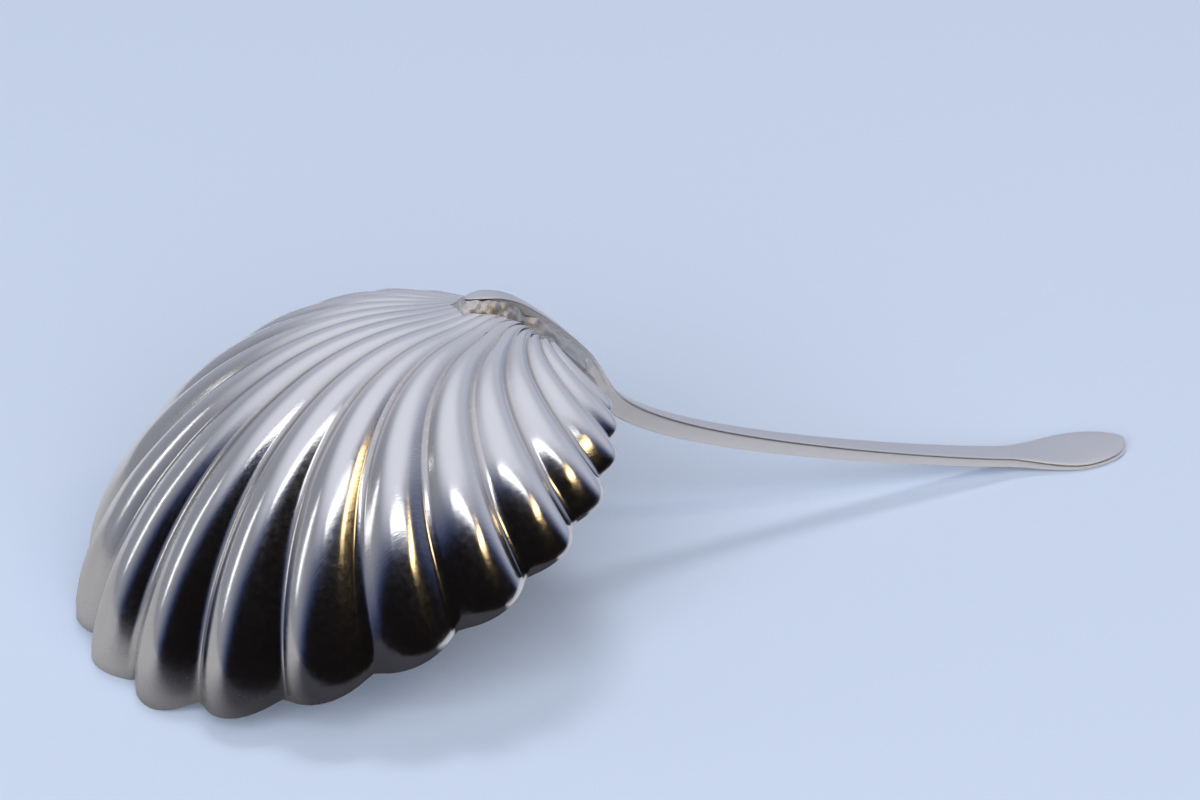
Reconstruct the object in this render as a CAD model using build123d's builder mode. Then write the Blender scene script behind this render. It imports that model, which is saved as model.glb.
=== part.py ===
from build123d import *
import os
from math import cos, exp, pi, radians, sin, sqrt

# Sugar spoon with a scallop-shell bowl, lying face down as it stands on a table.
# Millimetres, +Z up, +X from the lip towards the handle's end, symmetric about Y = 0.

# Bowl: fluted shell struck from one piece of sheet
rim_diameter = 61.3  # across the valleys of the scalloped rim
dome_height = 19.3  # from the rim plane to the valleys at the middle
dome_fullness = 0.80  # 0.5 makes the section an ellipse, 1 a parabola
hinge_lean = 0.166  # the dome is fuller on its hinge side
hinge_shoulder = 0.104  # and it falls off later at both ends
sheet = 0.9
bowl_tilt = 23.4  # degrees between the rim plane and the table
lip_wear = 0.5  # flat worn on the lowest lobes of the lip

# Umbo: the swelling near the hinge that the flutes spread from
umbo_inset = 0.9  # from the rim
umbo_flat = 0.05  # share of each flute's length that the flat seat takes
swell_height = 0.40  # share added to the dome's height
swell_inset = 3.5  # from the rim
swell_length = 5.5
swell_width = 6.0

# Flutes
flute_pairs = 10  # on each side of the middle one
flute_pitch = 10.55  # degrees between the middle flutes at the rim
flute_crowding = 0.00183  # how fast they close up towards the hinge
flute_bow = 0.44  # how much each one curls in at the umbo
flute_rise = 0.125  # crest height over flute width
loft_rings = 5

# Handle: forged in one piece, with a tongue that laps over the bowl's back
tongue_reach = 9.0  # from the hinge rim, measured in the rim plane
tongue_width = 2.6
tongue_tip_width = 1.6
tongue_thickness = 1.2
tongue_tip_thickness = 0.7
elbow_out = 4.0  # from the hinge rim to the stem's elbow
elbow_drop = 5.6
elbow_slope = 42.0  # degrees below level
elbow_width = 2.4
elbow_thickness = 2.4
stem_width = 3.0  # half way along
neck_rise = 1.9  # from the table to the middle of the neck
neck_slope = 11.5  # degrees below level
neck_width = 3.9
neck_thickness = 1.3
handle_reach = 69.3  # from the hinge rim to the handle's end
paddle_length = 16.5
paddle_bulge = 10.0  # from the neck to the widest place
paddle_width = 8.6
paddle_thickness = 1.1
elbow_hold = 0.21  # how far the stem keeps its direction at the elbow, as a share of its length
neck_hold = 0.12  # and at the neck
bend_hold = 0.36  # the same for the bends at the root and at the paddle
paddle_hold = 0.45  # and for the paddle's outline

# Hard solder under the tongue, squeezed out as a bead round its edge
solder_gap = 0.7  # between the tongue and the bowl's valleys
solder_thickness = 0.5
bead_width = 0.5

rim_radius = rim_diameter / 2
umbo_x = rim_radius - umbo_inset
tilt = radians(bowl_tilt)


def flute_angle(index):
    """Bearing at the umbo of a flute's crest, or of a valley at a half index."""
    return radians(flute_pitch) * index * (1 - flute_crowding * index**2)


def flute_length(bearing):
    """Distance from the umbo to the rim in the rim plane."""
    return umbo_x * cos(bearing) + sqrt(rim_radius**2 - (umbo_x * sin(bearing)) ** 2)


def dome(x, y):
    """Height of the valley surface above the rim plane."""
    span = max(0.0, 1 - (x * x + y * y) / rim_radius**2) ** dome_fullness
    lean = x / rim_radius
    swell_x = rim_radius - swell_inset
    swell = swell_height * exp(-(((x - swell_x) / swell_length) ** 2) - (y / swell_width) ** 2)
    return dome_height * span * (1 + hinge_lean * lean + hinge_shoulder * lean**2 + swell)


def skin(x, y, proud):
    """Point a given distance outside the valley surface, level with the rim at the rim."""
    z = dome(x, y)
    normal = Vector(x, y, z * (rim_radius / dome_height) ** 2).normalized()
    return Vector(x, y, z) + normal * proud


def fan(index, t, proud):
    """Point on a flute or valley line, t running from 0 at the umbo to 1 at the rim."""
    bearing = flute_angle(index)
    run = flute_length(bearing) * t
    bowed = bearing * (1 - flute_bow * (1 - t))
    return skin(umbo_x - run * cos(bowed), run * sin(bowed), proud)


def crest_rise(index, t):
    """Height of a flute's crest above its valleys."""
    return flute_rise * (fan(index + 0.5, t, 0) - fan(index - 0.5, t, 0)).length


def ring_arcs(t, depth):
    """End, middle and end points of the arcs round the shell, one per flute and one at the hinge."""
    arcs = []
    for index in range(-flute_pairs, flute_pairs + 1):
        crest = fan(index, t, crest_rise(index, t) - depth)
        arcs.append([fan(index - 0.5, t, -depth), crest, fan(index + 0.5, t, -depth)])
    hinge = skin(umbo_x + umbo_inset * t, 0, -depth)
    arcs.append([arcs[-1][2], hinge, arcs[0][0]])
    return arcs


def flattened(arcs):
    """The same arcs laid into one plane, through the middle crest and both ends of the hinge arc."""
    seat = Plane(Face(Wire.make_polygon([arcs[flute_pairs][1], arcs[-1][0], arcs[-1][2]])))
    flat = []
    for arc in arcs:
        local = [seat.to_local_coords(point) for point in arc]
        flat.append([seat.from_local_coords(Vector(p.X, p.Y, 0)) for p in local])
    return flat


def ring(arcs):
    with BuildLine() as outline:
        for start, middle, end in arcs:
            ThreePointArc(start, middle, end)
    return outline.wire()


def shell_form(depth):
    """Solid bounded by the shell's surface at a depth below its outside, closed at the rim plane."""
    sections = [ring(flattened(ring_arcs(umbo_flat, depth)))]
    for i in range(1, loft_rings + 1):
        spread = (1 - cos(pi * i / loft_rings)) / 2
        sections.append(ring(ring_arcs(umbo_flat + (1 - umbo_flat) * spread, depth)))
    return Solid.make_loft(sections)


# The rim plane stands on the lip's middle lobe, less the wear
lip_reach = rim_radius + crest_rise(0, 1)
rim_height = lip_reach * sin(tilt) - lip_wear
rim_plane = Plane(
    origin=(0, 0, rim_height),
    x_dir=(cos(tilt), 0, sin(tilt)),
    z_dir=(-sin(tilt), 0, cos(tilt)),
)
outside = shell_form(0).moved(rim_plane.location)
inside = shell_form(sheet).moved(rim_plane.location)

with BuildPart() as shell_bowl:
    add(outside)
    add(inside, mode=Mode.SUBTRACT)
    with BuildSketch(Plane.XY):
        Rectangle(rim_diameter * 2, rim_diameter * 2)
    extrude(amount=-lip_wear * 2, mode=Mode.SUBTRACT, clean=False)


def over_bowl(inset, proud):
    """Point on the middle line, at an inset from the hinge rim and standing off the valley surface."""
    step = 0.02
    x = rim_radius - inset
    slope = (dome(x + step / 2, 0) - dome(x - step / 2, 0)) / step
    normal = Vector(-slope, 0, 1).normalized()
    return rim_plane.from_local_coords(Vector(x, 0, dome(x, 0)) + normal * proud)


def heading(slope):
    return Vector(cos(radians(slope)), 0, -sin(radians(slope)))


# The tongue is laid out at a few places from its tip to the hinge, as shares of its reach
tongue_places = (1.0, 0.75, 0.5, 0.25, 0.04)
tongue_end = tongue_reach * tongue_places[-1]
tongue_heading = (over_bowl(tongue_end, 0) - over_bowl(tongue_end * 2, 0)).normalized()
hinge = rim_plane.from_local_coords(Vector(rim_radius, 0, 0))
elbow = Vector(hinge.X + elbow_out, 0, hinge.Z - elbow_drop)
end_x = hinge.X + handle_reach
neck = Vector(end_x - paddle_length, 0, neck_rise)
bulge = Vector(neck.X + paddle_bulge, 0, paddle_thickness / 2)
tongue_tip_x = over_bowl(tongue_reach, solder_gap).X
tongue_shoulder_x = over_bowl(tongue_reach * tongue_places[1], solder_gap).X
stem_middle_x = (elbow.X + neck.X) / 2


def eased(start, leaving, end, arriving, start_hold, end_hold):
    """Curve that leaves and arrives along the given headings, each held for a share of the distance."""
    span = (end - start).length
    return Bezier(start, start + leaving * start_hold * span, end - arriving * end_hold * span, end)


def lap_curve(proud, tip_proud):
    """Curve over the bowl's back from the tongue's tip to the hinge."""
    lap = []
    for place in tongue_places:
        share = min(1.0, (1 - place) / (1 - tongue_places[2]))
        lap.append(over_bowl(tongue_reach * place, tip_proud + (proud - tip_proud) * share))
    return Spline(*lap, tangents=[(lap[1] - lap[0]).normalized(), tongue_heading])


def handle_edge(side):
    """Upper (+1) or lower (-1) edge of the handle seen from its side, from tongue tip to paddle."""
    over = (side + 1) / 2
    lap = lap_curve(solder_gap + tongue_thickness * over, solder_gap + tongue_tip_thickness * over)
    joints = [(lap @ 1, tongue_heading)]
    for middle, slope, thickness in (
        (elbow, elbow_slope, elbow_thickness),
        (neck, neck_slope, neck_thickness),
        (bulge, 0, paddle_thickness),
    ):
        along = heading(slope)
        joints.append((middle + Vector(-along.Z, 0, along.X) * side * thickness / 2, along))
    holds = ((bend_hold, bend_hold), (elbow_hold, neck_hold), (bend_hold, bend_hold))
    for (start, leaving), (end, arriving), hold in zip(joints, joints[1:], holds):
        eased(start, leaving, end, arriving, *hold)
    return lap @ 0, joints[-1][0]


with BuildSketch(Plane.XY) as handle_plan:
    with BuildLine():
        stem_edge = Spline(
            (tongue_tip_x, tongue_tip_width / 2),
            (tongue_shoulder_x, tongue_width / 2),
            (hinge.X, tongue_width / 2),
            (elbow.X, elbow_width / 2),
            (stem_middle_x, stem_width / 2),
            (neck.X, neck_width / 2),
        )
        neck_edge = stem_edge @ 1
        widest = Vector(bulge.X, paddle_width / 2)
        eased(neck_edge, stem_edge % 1, widest, Vector(1, 0), paddle_hold, paddle_hold)
        EllipticalCenterArc((bulge.X, 0), end_x - bulge.X, paddle_width / 2, arc_size=90)
        mirror(about=Plane.XZ)
        Line(stem_edge @ 0, (tongue_tip_x, -tongue_tip_width / 2))
    make_face()

with BuildPart() as handle:
    with BuildLine() as handle_side:
        top_tip, top_bulge = handle_edge(1)
        bottom_tip, bottom_bulge = handle_edge(-1)
        Line(top_tip, bottom_tip)
        end = Vector(end_x - bulge.X, 0, 0)
        Polyline(top_bulge, top_bulge + end, bottom_bulge + end, bottom_bulge)
    extrude(Face(handle_side.wire()), amount=paddle_width, dir=(0, 1, 0), both=True)
    extrude(handle_plan.sketch, amount=rim_diameter, mode=Mode.INTERSECT, clean=False)

with BuildSketch(Plane.XY) as seam_plan:
    with BuildLine():
        seam_edge = Spline(
            (tongue_tip_x - bead_width, tongue_tip_width / 2),
            (tongue_shoulder_x, tongue_width / 2 + bead_width),
            (hinge.X, tongue_width / 2 + bead_width),
        )
        mirror(about=Plane.XZ)
        for end in (seam_edge @ 0, seam_edge @ 1):
            Line(end, Vector(end.X, -end.Y))
    make_face()

with BuildPart() as solder_seam:
    with BuildLine() as seam_side:
        ends = []
        for proud in (solder_gap, solder_gap - solder_thickness):
            lap = lap_curve(proud, proud)
            bead_end = lap @ 0 - (lap % 0) * bead_width
            Line(bead_end, lap @ 0)
            ends.append((bead_end, lap @ 1))
        Line(ends[0][0], ends[1][0])
        Line(ends[0][1], ends[1][1])
    extrude(Face(seam_side.wire()), amount=tongue_width, dir=(0, 1, 0), both=True)
    extrude(seam_plan.sketch, amount=rim_diameter, mode=Mode.INTERSECT, clean=False)

# The origin is under the middle of the whole spoon
middle_x = (shell_bowl.part.bounding_box().min.X + end_x) / 2
os.makedirs("parts", exist_ok=True)
for piece, name in ((shell_bowl, "shell_bowl"), (handle, "handle"), (solder_seam, "solder_seam")):
    placed = piece.part.moved(Location((-middle_x, 0, 0)))
    placed.label = name
    export_step(placed, f"parts/{name}.step")
    print(name, placed.is_valid, len(placed.solids()), round(placed.volume, 1), placed.bounding_box())
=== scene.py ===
import math

import bmesh
import bpy
from bpy.props import FloatProperty, FloatVectorProperty, IntProperty, PointerProperty
from mathutils import Matrix, Vector, noise


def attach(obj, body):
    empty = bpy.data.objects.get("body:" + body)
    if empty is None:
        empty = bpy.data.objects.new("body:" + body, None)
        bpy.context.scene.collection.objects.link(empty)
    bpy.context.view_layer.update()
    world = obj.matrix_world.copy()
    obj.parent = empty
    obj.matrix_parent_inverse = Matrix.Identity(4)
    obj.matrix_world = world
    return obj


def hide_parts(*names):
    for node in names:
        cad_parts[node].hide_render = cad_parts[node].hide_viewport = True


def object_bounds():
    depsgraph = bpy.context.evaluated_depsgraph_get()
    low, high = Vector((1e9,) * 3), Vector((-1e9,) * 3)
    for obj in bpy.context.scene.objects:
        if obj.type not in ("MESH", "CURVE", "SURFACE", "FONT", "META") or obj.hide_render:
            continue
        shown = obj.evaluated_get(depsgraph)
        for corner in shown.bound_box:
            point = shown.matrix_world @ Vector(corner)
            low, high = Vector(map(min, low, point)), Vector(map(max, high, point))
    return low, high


bl_info = {
    "name": "Shell Sugar Spoon",
    "version": (1, 0, 0),
    "blender": (4, 5, 0),
    "location": "View3D > Sidebar > Sugar Spoon",
    "description": "Models a silver sugar spoon with a fluted shell bowl, lying face down",
    "category": "Add Mesh",
}

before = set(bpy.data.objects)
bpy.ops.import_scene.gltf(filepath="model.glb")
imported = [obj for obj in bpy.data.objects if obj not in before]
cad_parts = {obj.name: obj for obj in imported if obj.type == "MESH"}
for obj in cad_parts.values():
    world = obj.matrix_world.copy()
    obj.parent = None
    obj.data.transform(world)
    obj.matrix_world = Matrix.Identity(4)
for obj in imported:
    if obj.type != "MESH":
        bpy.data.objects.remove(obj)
cad_low, cad_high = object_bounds()
MM = 0.001
WELD = 0.002 * MM  # points closer than this become one


def size(name, millimetres, description):
    """A length."""
    return FloatProperty(
        name=name, description=description, default=millimetres * MM, min=0.0, unit="LENGTH", precision=5
    )


def angle(name, degrees, description):
    """An angle."""
    return FloatProperty(name=name, description=description, default=math.radians(degrees), subtype="ANGLE")


def share(name, default, description):
    """A part of a whole, from 0 to 1."""
    return FloatProperty(
        name=name, description=description, default=default, min=0.0, max=1.0, subtype="FACTOR"
    )


def ratio(name, default, description):
    """A plain number."""
    return FloatProperty(name=name, description=description, default=default, precision=5)


def tint(name, default, description):
    """A colour."""
    return FloatVectorProperty(
        name=name, description=description, default=default, subtype="COLOR", size=3, min=0.0, max=1.0
    )


class SPOON_PG_shell(bpy.types.PropertyGroup):
    """Sizes of the fluted bowl."""

    rim_diameter: size("Rim diameter", 61.3, "Across the valleys of the scalloped rim")
    dome_height: size("Dome height", 19.3, "From the rim plane to the valleys at the middle")
    dome_fullness: share("Dome fullness", 0.80, "0.5 makes the section an ellipse, 1 a parabola")
    hinge_lean: share("Hinge lean", 0.166, "How much fuller the dome is on its hinge side")
    hinge_shoulder: share("Hinge shoulder", 0.104, "How late the dome falls off at both ends")
    sheet: size("Sheet", 0.9, "Thickness of the metal")
    bowl_tilt: angle("Bowl tilt", 23.4, "Between the rim plane and the table")
    lip_wear: size("Lip wear", 0.5, "Flat worn on the lowest lobes of the lip")
    umbo_inset: size("Umbo inset", 0.9, "From the hinge rim to the place the flutes spread from")
    swell_height: share("Swell height", 0.40, "Share that the swelling at the hinge adds to the dome")
    swell_inset: size("Swell inset", 3.5, "From the hinge rim to the swelling's middle")
    swell_length: size("Swell length", 5.5, "Reach of the swelling along the spoon")
    swell_width: size("Swell width", 6.0, "Reach of the swelling across the spoon")
    flute_pairs: IntProperty(name="Flute pairs", description="On each side of the middle one", default=10)
    flute_pitch: angle("Flute pitch", 10.55, "Between the middle flutes")
    flute_crowding: ratio("Flute crowding", 0.00183, "How fast they close up towards the hinge")
    flute_bow: share("Flute bow", 0.44, "How much each one curls in at the umbo")
    flute_rise: share("Flute rise", 0.125, "Crest height over flute width")
    flute_relief: ratio("Flute relief", 1.7, "How many times fuller the crests grow towards the rim")
    flute_fade: share("Flute fade", 0.40, "Share of a flute's length over which it rises from the umbo")
    rim_sheet: share("Rim sheet", 0.6, "Thickness at the rim as a share of the sheet")
    valley_round: share("Valley round", 0.10, "Share of a half flute that the valley's rounding takes")
    rim_round: size("Rim round", 0.18, "Rounding of the rim's two edges")
    hammering: size("Hammering", 0.05, "Unevenness left by the hand work")
    wear_height: size("Wear height", 9.0, "Up to where the rim is rubbed dull")
    film_start: share("Film start", 0.45, "Share of a flute's length over which its groove is rubbed clean")


class SPOON_PG_handle(bpy.types.PropertyGroup):
    """Sizes of the forged handle."""

    tongue_reach: size("Tongue reach", 9.0, "From the hinge rim, measured in the rim plane")
    tongue_width: size("Tongue width", 2.6, "Over the bowl")
    tongue_tip_width: size("Tongue tip width", 1.6, "At its rounded end")
    tongue_thickness: size("Tongue thickness", 1.2, "Over the bowl")
    tongue_tip_thickness: size("Tongue tip thickness", 0.7, "At its rounded end")
    elbow_out: size("Elbow out", 4.0, "From the hinge rim to the stem's elbow")
    elbow_drop: size("Elbow drop", 5.6, "From the hinge rim down to the elbow")
    elbow_slope: angle("Elbow slope", 42.0, "Below level")
    elbow_width: size("Elbow width", 2.4, "Across the elbow")
    elbow_thickness: size("Elbow thickness", 2.4, "Through the elbow")
    stem_width: size("Stem width", 3.0, "Half way along")
    neck_rise: size("Neck rise", 1.9, "From the table to the middle of the neck")
    neck_slope: angle("Neck slope", 11.5, "Below level")
    neck_width: size("Neck width", 3.9, "Across the neck")
    neck_thickness: size("Neck thickness", 1.3, "Through the neck")
    handle_reach: size("Handle reach", 69.3, "From the hinge rim to the handle's end")
    paddle_length: size("Paddle length", 16.5, "From the neck to the handle's end")
    paddle_bulge: size("Paddle bulge", 10.0, "From the neck to the widest place")
    paddle_width: size("Paddle width", 8.6, "Across the widest place")
    paddle_thickness: size("Paddle thickness", 1.1, "Through the paddle")
    elbow_hold: share("Elbow hold", 0.21, "How far the stem keeps its direction at the elbow")
    neck_hold: share("Neck hold", 0.12, "How far the stem keeps its direction at the neck")
    bend_hold: share("Bend hold", 0.36, "The same for the bends at the root and at the paddle")
    squareness: ratio("Squareness", 6.0, "2 makes the section round, more makes it square")
    paddle_squareness: ratio("Paddle squareness", 2.7, "The same for the paddle's crowned top")


class SPOON_PG_solder(bpy.types.PropertyGroup):
    """Sizes of the solder round the tongue."""

    gap: size("Gap", 0.3, "Between the tongue and the bowl's valleys")
    bead_width: size("Bead width", 1.4, "How far it shows beyond the tongue")
    root_spread: ratio("Root spread", 0.8, "How many bead widths more it spreads at the root")
    fullness: size("Fullness", 0.22, "How far its flanks bulge")
    lumpiness: size("Lumpiness", 0.2, "Height of the lumps")
    bare_place: share("Bare place", 0.58, "Share of the tongue where the solder did not fill its near side")
    bare_length: share("Bare length", 0.07, "Reach of that place as a share of the tongue")


class SPOON_PG_finish(bpy.types.PropertyGroup):
    """Colours of the metal and the table, and the camera's lens."""

    silver: tint("Silver", (0.76, 0.755, 0.75), "Clean worn silver")
    tarnish: tint("Tarnish", (0.20, 0.15, 0.11), "Brown film in the grooves")
    solder: tint("Solder", (0.80, 0.79, 0.76), "Pale hard solder")
    floor: tint("Floor", (0.60, 0.70, 0.89), "Pale table")
    lens: FloatProperty(name="Lens", description="Focal length", default=165.0, subtype="DISTANCE_CAMERA")


def eased_share(part):
    """Smooth rise from 0 to 1."""
    return part * part * (3 - 2 * part)


class ShellForm:
    """The bowl's surface, worked out in its rim plane and placed with the lip on the table."""

    relief_gain = 1.6  # how soon along its length a flute has its full relief
    slope_step = 0.01 * MM  # over which the dome's slope is measured

    def __init__(self, sizes):
        self.sizes = sizes
        self.radius = sizes.rim_diameter / 2
        self.umbo_x = self.radius - sizes.umbo_inset
        self.last = sizes.flute_pairs + 0.5
        tilt = sizes.bowl_tilt
        lip_reach = self.radius + self.rise(0, 1.0)
        self.height = lip_reach * math.sin(tilt) - sizes.lip_wear
        self.hinge = Vector((self.radius * math.cos(tilt), 0.0, self.height + self.radius * math.sin(tilt)))
        self.turn = Matrix.Translation((0.0, 0.0, self.height)) @ Matrix.Rotation(-tilt, 4, "Y")

    def bearing(self, index):
        """Direction from the umbo to the rim's end of a flute, counted from the middle one."""
        return self.sizes.flute_pitch * index * (1 - self.sizes.flute_crowding * index**2)

    def length(self, bearing):
        """Distance from the umbo to the rim in a direction."""
        across = self.umbo_x * math.sin(bearing)
        return self.umbo_x * math.cos(bearing) + math.sqrt(self.radius**2 - across**2)

    def dome(self, x, y):
        """Height of the valleys over the rim plane."""
        s = self.sizes
        span = max(0.0, 1 - (x * x + y * y) / self.radius**2) ** s.dome_fullness
        lean = x / self.radius
        along = (x - self.radius + s.swell_inset) / s.swell_length
        swell = s.swell_height * math.exp(-(along**2) - (y / s.swell_width) ** 2)
        return s.dome_height * span * (1 + s.hinge_lean * lean + s.hinge_shoulder * lean**2 + swell)

    def skin(self, x, y, proud):
        """Point that stands off the valleys, in the direction an ellipsoid of the dome's size faces."""
        z = self.dome(x, y)
        normal = Vector((x, y, z * (self.radius / self.sizes.dome_height) ** 2)).normalized()
        return Vector((x, y, z)) + normal * proud

    def fanned(self, bearing, run):
        """Place in the rim plane at a distance from the umbo."""
        return self.umbo_x - run * math.cos(bearing), run * math.sin(bearing)

    def bowed(self, bearing, t):
        """Direction from the umbo to a place on a flute, which curls in near the umbo."""
        return bearing * (1 - self.sizes.flute_bow * (1 - t))

    def spread(self, index, t):
        """Place in the rim plane on a flute, t running from 0 at the umbo to 1 at the rim."""
        bearing = self.bearing(index)
        return self.fanned(self.bowed(bearing, t), self.length(bearing) * t)

    def behind(self, turn, t):
        """Place in the rim plane behind the umbo, turn running from the last flute to the first."""
        bearing = self.bearing(self.last)
        bowed = self.bowed(bearing, t)
        run = self.length(bearing + (2 * math.pi - 2 * bearing) * turn) * t
        return self.fanned(bowed + (2 * math.pi - 2 * bowed) * turn, run)

    def rise(self, index, t):
        """Height of a flute's crest over its valleys."""
        one = self.skin(*self.spread(index + 0.5, t), 0.0)
        other = self.skin(*self.spread(index - 0.5, t), 0.0)
        return self.sizes.flute_rise * (one - other).length

    def relief(self, t):
        """How full a flute is: it fades into the smooth umbo and is deepest at the rim."""
        risen = eased_share(min(1.0, t / self.sizes.flute_fade))
        return risen * (1 + (self.sizes.flute_relief - 1) * min(1.0, self.relief_gain * t))

    def arch(self, offset):
        """Section of a flute from 0 in the valley to 1 on the crest, with a rounded valley."""
        g = 2 * abs(offset)
        start = 1 - self.sizes.valley_round
        if g <= start:
            drop = g * g
        else:
            past = g - start
            drop = start**2 + 2 * start * past - start * past**2 / self.sizes.valley_round
        full = start**2 + start * self.sizes.valley_round
        return 1 - drop / full

    def placed(self, point):
        """Point of the rim plane's frame as it lies over the table."""
        return self.turn @ point

    def over(self, inset, y, proud):
        """Point over the bowl's back at an inset from the hinge rim, standing off its valleys."""
        step = self.slope_step
        x = self.radius - inset
        slope_x = (self.dome(x + step, y) - self.dome(x - step, y)) / (2 * step)
        slope_y = (self.dome(x, y + step) - self.dome(x, y - step)) / (2 * step)
        normal = Vector((-slope_x, -slope_y, 1.0)).normalized()
        return self.placed(Vector((x, y, self.dome(x, y))) + normal * proud)


class HandleForm:
    """Lower edge, upper edge and half width of the handle along its length."""

    root_inset = 0.04  # where the tongue leaves the bowl, as a share of its reach
    fill_share = 0.5  # share of the lap over which the tongue thickens
    shoulder_share = 0.26  # share of the lap over which it widens
    stops = (0.25, 0.37, 0.70, 0.85)  # shares of the stations at the hinge, elbow, neck and bulge

    def __init__(self, shell, sizes, gap):
        self.shell = shell
        self.sizes = sizes
        self.gap = gap
        hinge = shell.hinge
        self.elbow = Vector((hinge.x + sizes.elbow_out, 0.0, hinge.z - sizes.elbow_drop))
        self.end_x = hinge.x + sizes.handle_reach
        self.neck = Vector((self.end_x - sizes.paddle_length, 0.0, sizes.neck_rise))
        self.bulge = Vector((self.neck.x + sizes.paddle_bulge, 0.0, sizes.paddle_thickness / 2))
        close = sizes.tongue_reach * self.root_inset
        self.leaving = (shell.over(close, 0.0, 0.0) - shell.over(close * 2, 0.0, 0.0)).normalized()

    def inset(self, along):
        """Inset from the hinge rim, along running from the tongue's tip to where it leaves the bowl."""
        return self.sizes.tongue_reach * (1 - (1 - self.root_inset) * along)

    def lap(self, along):
        """Lower and upper edge of the tongue."""
        s = self.sizes
        inset = self.inset(along)
        filled = min(1.0, along / self.fill_share)
        thickness = s.tongue_tip_thickness + (s.tongue_thickness - s.tongue_tip_thickness) * filled
        return self.shell.over(inset, 0.0, self.gap), self.shell.over(inset, 0.0, self.gap + thickness)

    def eased(self, start, leaving, end, arriving, hold, t):
        """Point on a curve that leaves and arrives along the given headings."""
        span = (end - start).length
        a = start + leaving * hold[0] * span
        b = end - arriving * hold[1] * span
        u = 1 - t
        return start * u**3 + a * (3 * u * u * t) + b * (3 * u * t * t) + end * t**3

    def half_width(self, x):
        """Half the width at a place along the handle."""
        s = self.sizes
        marks = (
            (self.lap(0.0)[0].x, s.tongue_tip_width),
            (self.lap(self.shoulder_share)[0].x, s.tongue_width),
            (self.shell.hinge.x, s.tongue_width),
            (self.elbow.x, s.elbow_width),
            ((self.elbow.x + self.neck.x) / 2, s.stem_width),
            (self.neck.x, s.neck_width),
            (self.bulge.x, s.paddle_width),
        )
        for (x0, w0), (x1, w1) in zip(marks, marks[1:]):
            if x < x1:
                part = max(0.0, (x - x0) / (x1 - x0))
                if x1 > self.neck.x:
                    part = eased_share(part)
                return (w0 + (w1 - w0) * part) / 2
        past = min(1.0, (x - self.bulge.x) / (self.end_x - self.bulge.x))
        return s.paddle_width / 2 * math.sqrt(1 - past**2)

    def edges(self, along):
        """Lower and upper point of the section at a share of the handle's stations."""
        s = self.sizes
        hinge_stop, bulge_stop = self.stops[0], self.stops[-1]
        if along < hinge_stop:
            return self.lap(along / hinge_stop)
        if along >= bulge_stop:
            turn = (along - bulge_stop) / (1 - bulge_stop) * math.pi / 2
            x = self.bulge.x + (self.end_x - self.bulge.x) * math.sin(turn)
            return Vector((x, 0.0, 0.0)), Vector((x, 0.0, s.paddle_thickness))
        marks = (
            (self.elbow, s.elbow_slope, s.elbow_thickness),
            (self.neck, s.neck_slope, s.neck_thickness),
            (self.bulge, 0.0, s.paddle_thickness),
        )
        bend = (s.bend_hold, s.bend_hold)
        holds = (bend, (s.elbow_hold, s.neck_hold), bend)
        pair = []
        for side, start in zip((-1, 1), self.lap(1.0)):
            leaving = self.leaving
            for (middle, slope, thickness), hold, low, high in zip(marks, holds, self.stops, self.stops[1:]):
                heading = Vector((math.cos(slope), 0.0, -math.sin(slope)))
                across = Vector((-heading.z, 0.0, heading.x))
                end = middle + across * (side * thickness / 2)
                if along <= high:
                    t = (along - low) / (high - low)
                    pair.append(self.eased(start, leaving, end, heading, hold, t))
                    break
                start, leaving = end, heading
        return pair


def settings():
    """Everything a user has set."""
    return bpy.context.scene.sugar_spoon


def forms():
    """Bowl and handle forms, with the offset that puts the handle's end where the CAD has it."""
    spoon = settings()
    shell = ShellForm(spoon.shell)
    handle = HandleForm(shell, spoon.handle, spoon.solder.gap)
    return shell, handle, Vector((cad_high.x - handle.end_x, 0.0, 0.0))


def new_surface():
    """Empty bmesh with a UV layer."""
    bm = bmesh.new()
    bm.loops.layers.uv.new("surface")
    return bm


def lattice(bm, across, along):
    """Grid of quads, as a list of its vertices with their shares across and along."""
    made = bmesh.ops.create_grid(bm, x_segments=across, y_segments=along, size=1.0, calc_uvs=True)
    return [(vert, (vert.co.x + 1) / 2, (vert.co.y + 1) / 2) for vert in made["verts"]]


def weld(bm, grid):
    """Joins the points of a grid that fall together, as they do along a seam."""
    bmesh.ops.remove_doubles(bm, verts=[vert for vert, u, v in grid], dist=WELD)


def face_outward(bm):
    """Turns the faces of a closed surface outwards, which its volume tells for sure."""
    bmesh.ops.recalc_face_normals(bm, faces=bm.faces)
    if bm.calc_volume(signed=True) < 0:
        bmesh.ops.reverse_faces(bm, faces=bm.faces)


def closed_tube(bm, around, along, place):
    """Tube placed by its shares around and along, joined at its seam and filled at both ends."""
    grid = lattice(bm, around, along)
    for vert, u, v in grid:
        vert.co = place(u, v)
    weld(bm, grid)
    bmesh.ops.holes_fill(bm, edges=[edge for edge in bm.edges if edge.is_boundary], sides=0)
    face_outward(bm)


def piece_from(bm, name, material, node):
    """Turns a finished bmesh into a piece that rides on the spoon and stands for a CAD node."""
    bm.normal_update()
    mesh = bpy.data.meshes.new(name)
    bm.to_mesh(mesh)
    bm.free()
    mesh.shade_smooth()
    piece = bpy.data.objects.new(name, mesh)
    bpy.context.scene.collection.objects.link(piece)
    mesh.materials.append(material)
    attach(piece, "root")
    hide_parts(node)


def add_node(tree, kind, **values):
    """Node with its properties and unlinked inputs set."""
    node = tree.nodes.new(kind)
    for key, value in values.items():
        if key in node.inputs.keys():
            node.inputs[key].default_value = value
        else:
            setattr(node, key, value)
    return node


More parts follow.
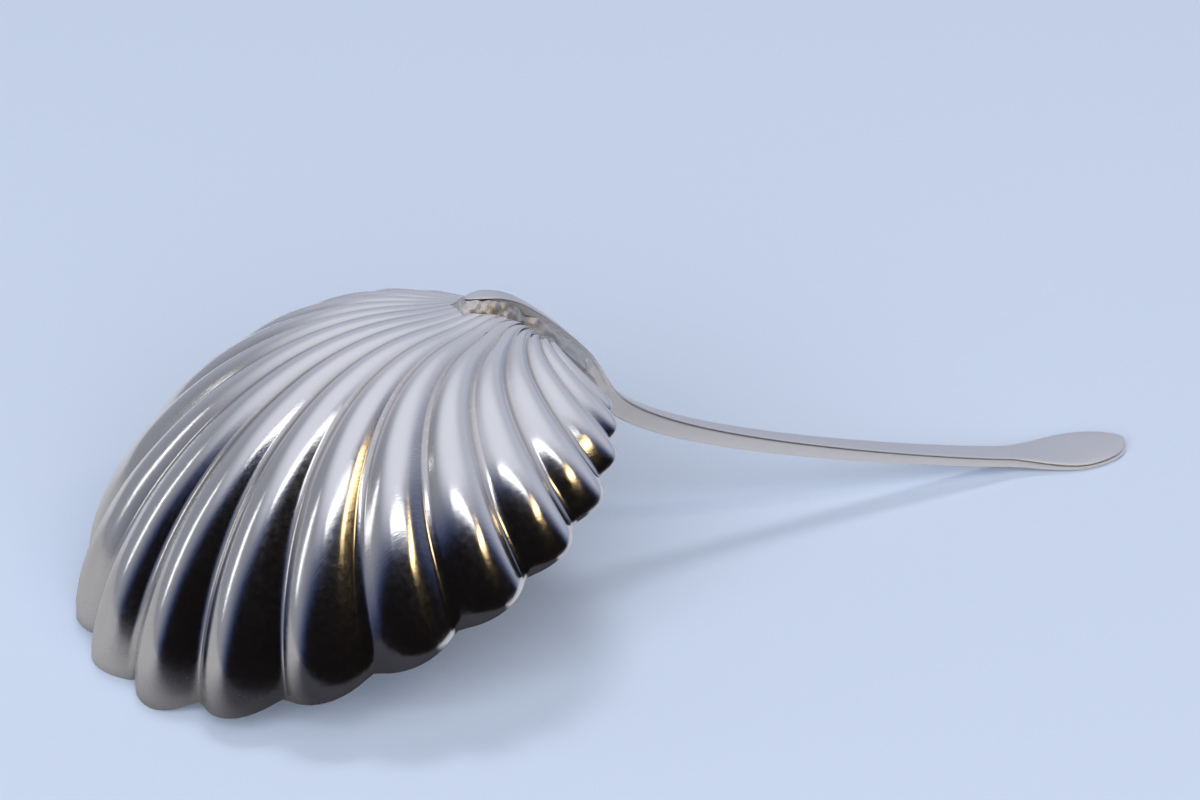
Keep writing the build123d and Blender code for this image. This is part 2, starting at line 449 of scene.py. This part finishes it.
def ranged(tree, source, ends, results=(0.0, 1.0), kind="LINEAR"):
    """Socket that goes from one result to the other while another goes between two ends."""
    step = add_node(tree, "ShaderNodeMapRange", interpolation_type=kind)
    step.inputs["From Min"].default_value, step.inputs["From Max"].default_value = ends
    step.inputs["To Min"].default_value, step.inputs["To Max"].default_value = results
    tree.links.new(source, step.inputs["Value"])
    return step.outputs["Result"]


def smooth_step(tree, source, ends):
    """Socket that rises smoothly from 0 to 1 while another goes between two ends."""
    return ranged(tree, source, ends, kind="SMOOTHSTEP")


def blend(tree, factor, first, second):
    """Socket with a mix of two colours, each a constant or a socket."""
    mix = add_node(tree, "ShaderNodeMix", data_type="RGBA")
    tree.links.new(factor, mix.inputs["Factor"])
    for key, colour in (("A", first), ("B", second)):
        if isinstance(colour, bpy.types.NodeSocket):
            tree.links.new(colour, mix.inputs[key])
        else:
            mix.inputs[key].default_value = (*colour, 1.0)
    return mix.outputs["Result"]


def combined(tree, operation, first, second):
    """Socket with the sum or product of two others, kept between 0 and 1."""
    math_node = add_node(tree, "ShaderNodeMath", operation=operation, use_clamp=True)
    tree.links.new(first, math_node.inputs[0])
    tree.links.new(second, math_node.inputs[1])
    return math_node.outputs["Value"]


def worn_metal_group():
    """Mottled film, uneven polish and scratches of old hand-polished silver."""
    found = bpy.data.node_groups.get("worn_metal")
    if found:
        return found
    film_edge = (0.05, 0.5)  # mottling over which the film goes from none to full
    mottle_range = (0.3, 0.8)
    polish_change = (-0.02, 0.08)  # roughness that the mottling adds over its range
    group = bpy.data.node_groups.new("worn_metal", "ShaderNodeTree")
    for name, kind in (
        ("Clean", "NodeSocketColor"),
        ("Film", "NodeSocketColor"),
        ("Film Amount", "NodeSocketFloat"),
        ("Polish", "NodeSocketFloat"),
    ):
        group.interface.new_socket(name=name, in_out="INPUT", socket_type=kind)
    for name, kind in (
        ("Color", "NodeSocketColor"),
        ("Roughness", "NodeSocketFloat"),
        ("Height", "NodeSocketFloat"),
    ):
        group.interface.new_socket(name=name, in_out="OUTPUT", socket_type=kind)
    links = group.links
    given = group.nodes.new("NodeGroupInput").outputs
    results = group.nodes.new("NodeGroupOutput").inputs
    where = group.nodes.new("ShaderNodeTexCoord").outputs["Object"]

    mottle = add_node(group, "ShaderNodeTexNoise", Scale=1500.0, Detail=5.0, Roughness=0.65)
    links.new(where, mottle.inputs["Vector"])
    stretch = add_node(group, "ShaderNodeMapping", Scale=(900.0, 5200.0, 2400.0), Rotation=(0.3, 0.2, 0.5))
    links.new(where, stretch.inputs["Vector"])
    scratch = add_node(group, "ShaderNodeTexNoise", Scale=1.0, Detail=3.0, Roughness=0.55)
    links.new(stretch.outputs["Vector"], scratch.inputs["Vector"])

    patches = smooth_step(group, mottle.outputs["Fac"], film_edge)
    filmed = combined(group, "MULTIPLY", patches, given["Film Amount"])
    links.new(blend(group, filmed, given["Clean"], given["Film"]), results["Color"])
    uneven = ranged(group, mottle.outputs["Fac"], mottle_range, polish_change)
    links.new(combined(group, "ADD", uneven, given["Polish"]), results["Roughness"])
    links.new(scratch.outputs["Fac"], results["Height"])
    return group


def silver_material(name, clean, polish, scratches, film_amount=0.0, groove=None, wear=None):
    """Metal fed by the worn metal group, with even film, or film and wear where attributes say."""
    wear_dulling = 0.35  # roughness that full wear adds
    scratch_depth = 0.02 * MM
    material = bpy.data.materials.new(name)
    material.use_nodes = True
    tree = material.node_tree
    shader = tree.nodes["Principled BSDF"]
    shader.inputs["Metallic"].default_value = 1.0
    worn = tree.nodes.new("ShaderNodeGroup")
    worn.node_tree = worn_metal_group()
    worn.inputs["Clean"].default_value = (*clean, 1.0)
    worn.inputs["Film"].default_value = (*settings().finish.tarnish, 1.0)
    worn.inputs["Film Amount"].default_value = film_amount
    worn.inputs["Polish"].default_value = polish
    if groove:
        stained = add_node(tree, "ShaderNodeAttribute", attribute_name=groove)
        tree.links.new(stained.outputs["Fac"], worn.inputs["Film Amount"])
    if wear:
        rubbed = add_node(tree, "ShaderNodeAttribute", attribute_name=wear)
        dulled = ranged(tree, rubbed.outputs["Fac"], (0.0, 1.0), (polish, polish + wear_dulling))
        tree.links.new(dulled, worn.inputs["Polish"])
    tree.links.new(worn.outputs["Color"], shader.inputs["Base Color"])
    tree.links.new(worn.outputs["Roughness"], shader.inputs["Roughness"])
    bump = add_node(tree, "ShaderNodeBump", Strength=scratches, Distance=scratch_depth)
    tree.links.new(worn.outputs["Height"], bump.inputs["Height"])
    tree.links.new(bump.outputs["Normal"], shader.inputs["Normal"])
    return material


class SPOON_OT_shell(bpy.types.Operator):
    """Model the fluted shell bowl"""

    bl_idname = "sugar_spoon.shell"
    bl_label = "Shell Bowl"

    segments = 12  # across each flute
    hinge_segments = 16
    rows = 110  # from the umbo to the rim
    inner_rows = 60
    row_crowding = 1.35  # above 1 the rows draw together at the umbo
    start = 0.012  # share of a flute's length where the surface begins
    hammer_scale = 160.0  # marks of the hammer to a metre
    hammer_gain = 4  # how soon they show along a flute
    thinning_power = 6  # how late along a flute the sheet thins
    worn_band = 0.05  # share of a flute's length that is rubbed at the rim
    film_amount = 0.8
    film_power = 3  # how closely the film keeps to the valleys
    film_loss = 0.75  # share of the film that is gone at the rim
    polish = 0.13
    scratches = 0.25

    def execute(self, context):
        shell, _, shift = forms()
        sizes = shell.sizes
        flutes = 2 * sizes.flute_pairs + 1
        fan_columns = flutes * self.segments
        columns = fan_columns + self.hinge_segments
        bm = new_surface()
        groove = bm.verts.layers.float.new("groove")
        wear = bm.verts.layers.float.new("wear")

        def on_surface(u, v, depth):
            """Place at a depth below the outside, with how filmed and how worn it is."""
            t = self.start + (1 - self.start) * v**self.row_crowding
            column = u * columns
            arch = 0.0
            proud = 0.0
            if column <= fan_columns:
                index = column / self.segments - shell.last
                crest = max(-sizes.flute_pairs, min(sizes.flute_pairs, round(index)))
                arch = shell.arch(index - crest)
                proud = arch * shell.rise(crest, t) * shell.relief(t)
                x, y = shell.spread(index, t)
            else:
                x, y = shell.behind((column - fan_columns) / self.hinge_segments, t)
            mark = noise.noise(shell.skin(x, y, proud) * self.hammer_scale)
            uneven = mark * sizes.hammering * min(1.0, self.hammer_gain * t)
            thinned = depth * (1 - (1 - sizes.rim_sheet) * t**self.thinning_power)
            point = shell.placed(shell.skin(x, y, proud - thinned + uneven))
            point.z = max(0.0, point.z)
            at_rim = max(0.0, 1 - (1 - t) / self.worn_band)
            rubbed = max(0.0, 1 - point.z / sizes.wear_height) * at_rim
            begun = min(1.0, (t / sizes.film_start) ** 2)
            stained = self.film_amount * (1 - arch) ** self.film_power * (1 - self.film_loss * t) * begun
            return point + shift, stained, rubbed

        def lay(depth, rows):
            """Lays one side of the sheet and gives its faces."""
            before = set(bm.faces)
            grid = lattice(bm, columns, rows)
            for vert, u, v in grid:
                vert.co, vert[groove], vert[wear] = on_surface(u, v, depth)
            weld(bm, grid)
            return [face for face in bm.faces if face not in before]

        lay(0.0, self.rows)
        inside = lay(sizes.sheet, self.inner_rows)
        bmesh.ops.reverse_faces(bm, faces=inside)

        to_rim_plane = shell.turn.inverted()
        rim, umbo = [], []
        for edge in bm.edges:
            if edge.is_boundary:
                middle = (edge.verts[0].co + edge.verts[1].co) / 2 - shift
                loop = rim if (to_rim_plane @ middle).z < sizes.sheet else umbo
                loop.append(edge)
        band = set(bmesh.ops.bridge_loops(bm, edges=rim)["faces"])
        bmesh.ops.holes_fill(bm, edges=umbo, sides=0)
        face_outward(bm)
        bmesh.ops.bevel(
            bm,
            geom=[edge for edge in bm.edges if len(band.intersection(edge.link_faces)) == 1],
            offset=sizes.rim_round,
            segments=2,
            profile=0.5,
            affect="EDGES",
            clamp_overlap=True,
            material=-1,
        )
        silver = settings().finish.silver
        material = silver_material(
            "shell_silver", silver, self.polish, self.scratches, groove="groove", wear="wear"
        )
        piece_from(bm, "fluted_shell", material, "shell_bowl")
        return {"FINISHED"}


class SPOON_OT_handle(bpy.types.Operator):
    """Model the forged handle with its tongue, stem and paddle"""

    bl_idname = "sugar_spoon.handle"
    bl_label = "Handle"

    around = 40
    stations = 160
    tip_share = 0.05  # share of the stations that round the tongue's tip
    tip_bluntness = 0.02  # squared share of the width that is left at the very tip
    polish = 0.36
    scratches = 0.04
    film_amount = 0.04

    def execute(self, context):
        _, handle, shift = forms()
        sizes = handle.sizes

        def section(u, v):
            """Place on the handle, u running round its section and v from tongue to paddle."""
            low, high = handle.edges(v)
            middle = (low + high) / 2
            tip = min(1.0, v / self.tip_share)
            width = handle.half_width(middle.x) * math.sqrt(max(self.tip_bluntness, 1 - (1 - tip) ** 2))
            flat = max(0.0, min(1.0, (middle.x - handle.neck.x) / sizes.paddle_bulge))
            crowned = sizes.squareness + (sizes.paddle_squareness - sizes.squareness) * flat
            turn = 2 * math.pi * u
            c, s = math.cos(turn), math.sin(turn)
            power = 2 / (crowned if s > 0 else sizes.squareness)
            side = math.copysign(abs(c) ** power, c) * width
            up = math.copysign(abs(s) ** power, s) / 2
            return middle + (high - low) * up + Vector((0.0, side, 0.0)) + shift

        bm = new_surface()
        closed_tube(bm, self.around, self.stations, section)
        silver = settings().finish.silver
        material = silver_material("handle_silver", silver, self.polish, self.scratches, self.film_amount)
        piece_from(bm, "forged_handle", material, "handle")
        return {"FINISHED"}


class SPOON_OT_solder(bpy.types.Operator):
    """Model the lumpy solder that joins the tongue and the root to the bowl"""

    bl_idname = "sugar_spoon.solder"
    bl_label = "Solder"

    flank = 12  # segments on each side
    inner = 4  # segments hidden in the handle, and as many in the bowl
    stations = 110
    tip_share = 0.08  # share of the stations that round the tongue's tip
    tip_bluntness = 0.05  # squared share of the width that is left at the very tip
    root_end = 0.355  # where the solder ends, as a share of the handle's stations
    root_flare = 1.2  # bead widths that it spreads past the hinge
    foot_depth = 0.3 * MM  # of its foot under the bowl's valleys
    climb = 0.75  # share of the handle's side that it covers
    bare_drop = 0.7  # share that is lost at the bare place
    bare_shrink = 0.6  # share of its width that is lost there
    tuck = 0.9  # how far out in the handle its top edge lies
    lump_scale = 1500.0  # lumps to a metre
    polish = 0.42
    scratches = 0.4
    film_amount = 0.2

    def execute(self, context):
        shell, handle, shift = forms()
        solder = settings().solder
        lap_end = handle.stops[0]
        around = 2 * (self.flank + self.inner)

        def flank_marks(v, side):
            """Foot in the bowl, corner outside and top in the handle at a station."""
            tip = min(1.0, v / self.tip_share)
            along = max(0.0, (v - self.tip_share) / (1 - self.tip_share)) * self.root_end
            low, high = handle.edges(along)
            half = handle.half_width(low.x) * math.sqrt(max(self.tip_bluntness, 1 - (1 - tip) ** 2))
            lapped = min(1.0, along / lap_end)
            past = max(0.0, (along - lap_end) / (self.root_end - lap_end))
            bare = 0.0
            if side < 0:
                bare = math.exp(-(((lapped - solder.bare_place) / solder.bare_length) ** 2))
            top = low.lerp(high, self.climb - self.bare_drop * bare)
            top.y = side * half * self.tuck
            spread = 1 + solder.root_spread * lapped**2 + self.root_flare * past
            y = side * (half + solder.bead_width * spread * (1 - self.bare_shrink * bare))
            if past == 0.0:
                inset = handle.inset(lapped) + solder.bead_width * (1 - tip)
                foot = shell.over(inset, y, -self.foot_depth)
            else:
                x = math.sqrt((shell.radius - self.foot_depth) ** 2 - y * y)
                foot = shell.placed(shell.skin(x, y, -self.foot_depth)).lerp(low, past**2)
            corner = foot.lerp(top, 0.5) + Vector((0.0, 0.0, solder.fullness))
            return foot, corner, top

        def loop_point(u, v):
            """Place round one station: up one flank, through the handle, down the other and back."""
            column = u * around
            foot, corner, top = flank_marks(v, -1)
            far_foot, far_corner, far_top = flank_marks(v, 1)
            far_start = self.flank + self.inner
            far_end = far_start + self.flank
            if column > far_end:
                return far_foot.lerp(foot, (column - far_end) / self.inner) + shift
            if column > far_start:
                point = self.bulged(far_top, far_corner, far_foot, (column - far_start) / self.flank)
            elif column > self.flank:
                point = top.lerp(far_top, (column - self.flank) / self.inner)
            else:
                point = self.bulged(foot, corner, top, column / self.flank)
            lump = solder.lumpiness * noise.noise(point * self.lump_scale)
            return point + Vector((0.0, 0.0, lump)) + shift

        bm = new_surface()
        closed_tube(bm, around, self.stations, loop_point)
        pale = settings().finish.solder
        material = silver_material("hard_solder", pale, self.polish, self.scratches, self.film_amount)
        piece_from(bm, "solder_bead", material, "solder_seam")
        return {"FINISHED"}

    def bulged(self, start, corner, end, t):
        """Point on the curve of a flank, which bends towards its corner."""
        return start.lerp(corner, t).lerp(corner.lerp(end, t), t)


class SPOON_OT_stage(bpy.types.Operator):
    """Set the table, the light and the camera"""

    bl_idname = "sugar_spoon.stage"
    bl_label = "Stage"

    target = Vector((4.31, 18.06, 10.05)) * MM  # where the camera looks
    distance = 634.6 * MM
    elevation = 25.74  # degrees of the camera above the table
    heading = 24.22  # degrees of the view from the spoon's +Y towards its +X
    roll = -0.42  # degrees
    near_clip = 0.01
    table_half = 3.0

    # Sides are in degrees to the right of the view. A reach of 1 lies right there and 0 square to it.
    dark_side = 163.0  # where the room is darkest
    dusk_bend = (-0.53, -0.11)  # how the dark draws back with height: by its square and by itself
    dusk = (-0.30, 0.10)  # where the pale room turns navy
    night = (-0.05, 0.22)  # where the navy turns black
    zenith = (0.6, 1.0)  # heights where the room turns bright
    haze = (0.0, 0.42)  # heights where the horizon turns pale
    dim_side = -95.0  # where the pale room is dimmer
    dim_reach = (0.15, 0.85)
    horizon = (0.38, 0.44, 0.60)
    pale = (0.57, 0.59, 0.70)
    dim = (0.30, 0.31, 0.36)
    bright = (0.84, 0.86, 0.98)
    navy = (0.03, 0.05, 0.14)
    black = (0.006, 0.005, 0.005)
    bounce = (0.14, 0.14, 0.14)  # even light that the room gives to matt surfaces

    # Painted reflection and painted shade on the table, by metres from the spoon's middle: for reflected
    # rays only, the table takes a tint and turns dim beside and black in front of the bowl
    side_shade_azimuth = 212.0
    side_shade_reach = (-0.005, 0.045)  # where the table beside the bowl turns dim
    front_shade_reach = (0.004, 0.038)  # where the table in front of the bowl turns black
    # Colours of the painted reflection tint and painted shade, which only reflected rays see
    painted_reflection_tint = (0.71, 0.73, 0.81)
    painted_side_shade = (0.47, 0.47, 0.49)
    painted_front_shade = (0.04, 0.04, 0.05)
    paper_roughness = 0.6
    paper_gloss = 0.2

    # name, degrees right of the view, degrees up, distance, spread, watts, colour, seen in the silver
    lamps = (
        ("key", 0.0, 72.0, 1.1, (0.35, 0.35), 2.6, (1.0, 1.0, 1.0), False),
        ("fill", 186.0, 30.0, 2.4, (3.4, 1.9), 78.0, (1.0, 1.0, 1.0), False),
        ("window", -88.0, 24.0, 0.9, (0.1, 0.5), 0.2, (1.0, 1.0, 1.0), True),
        ("strip", 172.0, 63.0, 1.0, (0.9, 0.09), 0.55, (1.0, 1.0, 1.0), True),
        ("warm", 125.0, 48.0, 0.8, (0.28, 0.08), 0.3, (1.0, 0.72, 0.36), True),
    )

    def toward(self, azimuth, elevation):
        """Direction at an angle to the right of the view and above the table."""
        turn = math.radians(self.heading + azimuth)
        flat = math.cos(math.radians(elevation))
        return Vector((math.sin(turn) * flat, math.cos(turn) * flat, math.sin(math.radians(elevation))))

    def facing_middle(self, out):
        """Turn that makes a lamp or camera look back along a direction."""
        return out.to_track_quat("Z", "Y").to_matrix().to_4x4()

    def along(self, tree, place, azimuth):
        """Socket with how far a place lies in a direction on the table."""
        reach = add_node(tree, "ShaderNodeVectorMath", operation="DOT_PRODUCT")
        reach.inputs[1].default_value = self.toward(azimuth, 0.0)
        tree.links.new(place, reach.inputs[0])
        return reach.outputs["Value"]

    def room(self, scene):
        """Pale room that turns navy and then black on the camera's side."""
        world = bpy.data.worlds.new("studio")
        world.use_nodes = True
        tree = world.node_tree
        where = tree.nodes.new("ShaderNodeTexCoord").outputs["Generated"]
        split = tree.nodes.new("ShaderNodeSeparateXYZ")
        tree.links.new(where, split.inputs["Vector"])
        up = split.outputs["Z"]
        bend = add_node(tree, "ShaderNodeMath", operation="MULTIPLY_ADD")
        bend.inputs[1].default_value, bend.inputs[2].default_value = self.dusk_bend
        tree.links.new(up, bend.inputs[0])
        depth = add_node(tree, "ShaderNodeMath", operation="MULTIPLY_ADD")
        tree.links.new(up, depth.inputs[0])
        tree.links.new(bend.outputs["Value"], depth.inputs[1])
        tree.links.new(self.along(tree, where, self.dark_side), depth.inputs[2])
        beside = smooth_step(tree, self.along(tree, where, self.dim_side), self.dim_reach)
        ahead = blend(tree, smooth_step(tree, up, self.haze), self.horizon, self.pale)
        wall = blend(tree, beside, ahead, self.dim)
        sky = blend(tree, smooth_step(tree, up, self.zenith), wall, self.bright)
        shade = blend(tree, smooth_step(tree, depth.outputs["Value"], self.night), self.navy, self.black)
        seen = blend(tree, smooth_step(tree, depth.outputs["Value"], self.dusk), sky, shade)
        path = tree.nodes.new("ShaderNodeLightPath")
        given = blend(tree, path.outputs["Is Diffuse Ray"], seen, self.bounce)
        tree.links.new(given, tree.nodes["Background"].inputs["Color"])
        scene.world = world

    def hang_lamps(self, scene):
        """Two soft lamps that light the table, and three that glint in the silver."""
        for name, azimuth, elevation, distance, spread, watts, colour, seen in self.lamps:
            data = bpy.data.lights.new(name, "AREA")
            data.shape = "ELLIPSE"
            data.size, data.size_y = spread
            data.energy = watts
            data.color = colour
            lamp = bpy.data.objects.new(name, data)
            lamp.visible_glossy = seen
            scene.collection.objects.link(lamp)
            out = self.toward(azimuth, elevation)
            lamp.matrix_world = Matrix.Translation(out * distance) @ self.facing_middle(out)

    def lay_table(self, scene):
        """Pale paper, evenly lit, with painted reflections: the silver sees it tinted, and as painted shade
        dim beside and dark in front of the bowl.
        """
        bm = bmesh.new()
        bmesh.ops.create_grid(bm, x_segments=1, y_segments=1, size=self.table_half)
        mesh = bpy.data.meshes.new("table_top")
        bm.to_mesh(mesh)
        bm.free()
        table = bpy.data.objects.new("table_top", mesh)
        scene.collection.objects.link(table)
        paper = bpy.data.materials.new("table_paper")
        paper.use_nodes = True
        tree = paper.node_tree
        shader = tree.nodes["Principled BSDF"]
        shader.inputs["Roughness"].default_value = self.paper_roughness
        shader.inputs["Specular IOR Level"].default_value = self.paper_gloss
        where = tree.nodes.new("ShaderNodeTexCoord").outputs["Object"]
        # Painted shade in reflections: masks where the table beside and in front of the bowl shows dimmer or
        # near black to reflected rays.
        beside = smooth_step(tree, self.along(tree, where, self.side_shade_azimuth), self.side_shade_reach)
        front = smooth_step(tree, self.along(tree, where, self.dark_side), self.front_shade_reach)
        dark = blend(tree, front, self.painted_side_shade, self.painted_front_shade)
        painted_reflection = blend(tree, beside, self.painted_reflection_tint, dark)
        path = tree.nodes.new("ShaderNodeLightPath")
        # The camera and the lamps see the plain floor colour; reflected rays see the painted reflection tint
        # and painted shade.
        colour = blend(tree, path.outputs["Is Glossy Ray"], settings().finish.floor, painted_reflection)
        tree.links.new(colour, shader.inputs["Base Color"])
        mesh.materials.append(paper)

    def set_camera(self, scene):
        """Long lens looking down on the spoon from its lip's side."""
        data = bpy.data.cameras.new("camera")
        data.lens = settings().finish.lens
        data.clip_start = self.near_clip
        camera = bpy.data.objects.new("camera", data)
        scene.collection.objects.link(camera)
        back = self.toward(180.0, self.elevation)
        roll = Matrix.Rotation(math.radians(self.roll), 4, "Z")
        place = Matrix.Translation(self.target + back * self.distance)
        camera.matrix_world = place @ self.facing_middle(back) @ roll
        scene.camera = camera

    def execute(self, context):
        scene = context.scene
        scene.view_settings.view_transform = "Standard"
        self.lay_table(scene)
        self.room(scene)
        self.hang_lamps(scene)
        self.set_camera(scene)
        return {"FINISHED"}


class SPOON_PG_all(bpy.types.PropertyGroup):
    """Everything a user may change on the spoon."""

    shell: PointerProperty(type=SPOON_PG_shell)
    handle: PointerProperty(type=SPOON_PG_handle)
    solder: PointerProperty(type=SPOON_PG_solder)
    finish: PointerProperty(type=SPOON_PG_finish)


class SPOON_PT_panel(bpy.types.Panel):
    """Sizes and operators of the sugar spoon"""

    bl_idname = "SPOON_PT_panel"
    bl_label = "Sugar Spoon"
    bl_space_type = "VIEW_3D"
    bl_region_type = "UI"
    bl_category = "Sugar Spoon"

    def draw(self, context):
        layout = self.layout
        for operator in (SPOON_OT_shell, SPOON_OT_handle, SPOON_OT_solder, SPOON_OT_stage):
            layout.operator(operator.bl_idname)
        spoon = context.scene.sugar_spoon
        for group in (spoon.shell, spoon.handle, spoon.solder, spoon.finish):
            box = layout.box()
            for key in group.bl_rna.properties.keys():
                if key not in {"rna_type", "name"}:
                    box.prop(group, key)


CLASSES = (
    SPOON_PG_shell,
    SPOON_PG_handle,
    SPOON_PG_solder,
    SPOON_PG_finish,
    SPOON_PG_all,
    SPOON_OT_shell,
    SPOON_OT_handle,
    SPOON_OT_solder,
    SPOON_OT_stage,
    SPOON_PT_panel,
)


def register():
    for cls in CLASSES:
        bpy.utils.register_class(cls)
    bpy.types.Scene.sugar_spoon = PointerProperty(type=SPOON_PG_all)


def unregister():
    del bpy.types.Scene.sugar_spoon
    for cls in reversed(CLASSES):
        bpy.utils.unregister_class(cls)


def main():
    register()
    bpy.ops.sugar_spoon.shell()
    bpy.ops.sugar_spoon.handle()
    bpy.ops.sugar_spoon.solder()
    bpy.ops.sugar_spoon.stage()


if __name__ == "__main__":
    main()
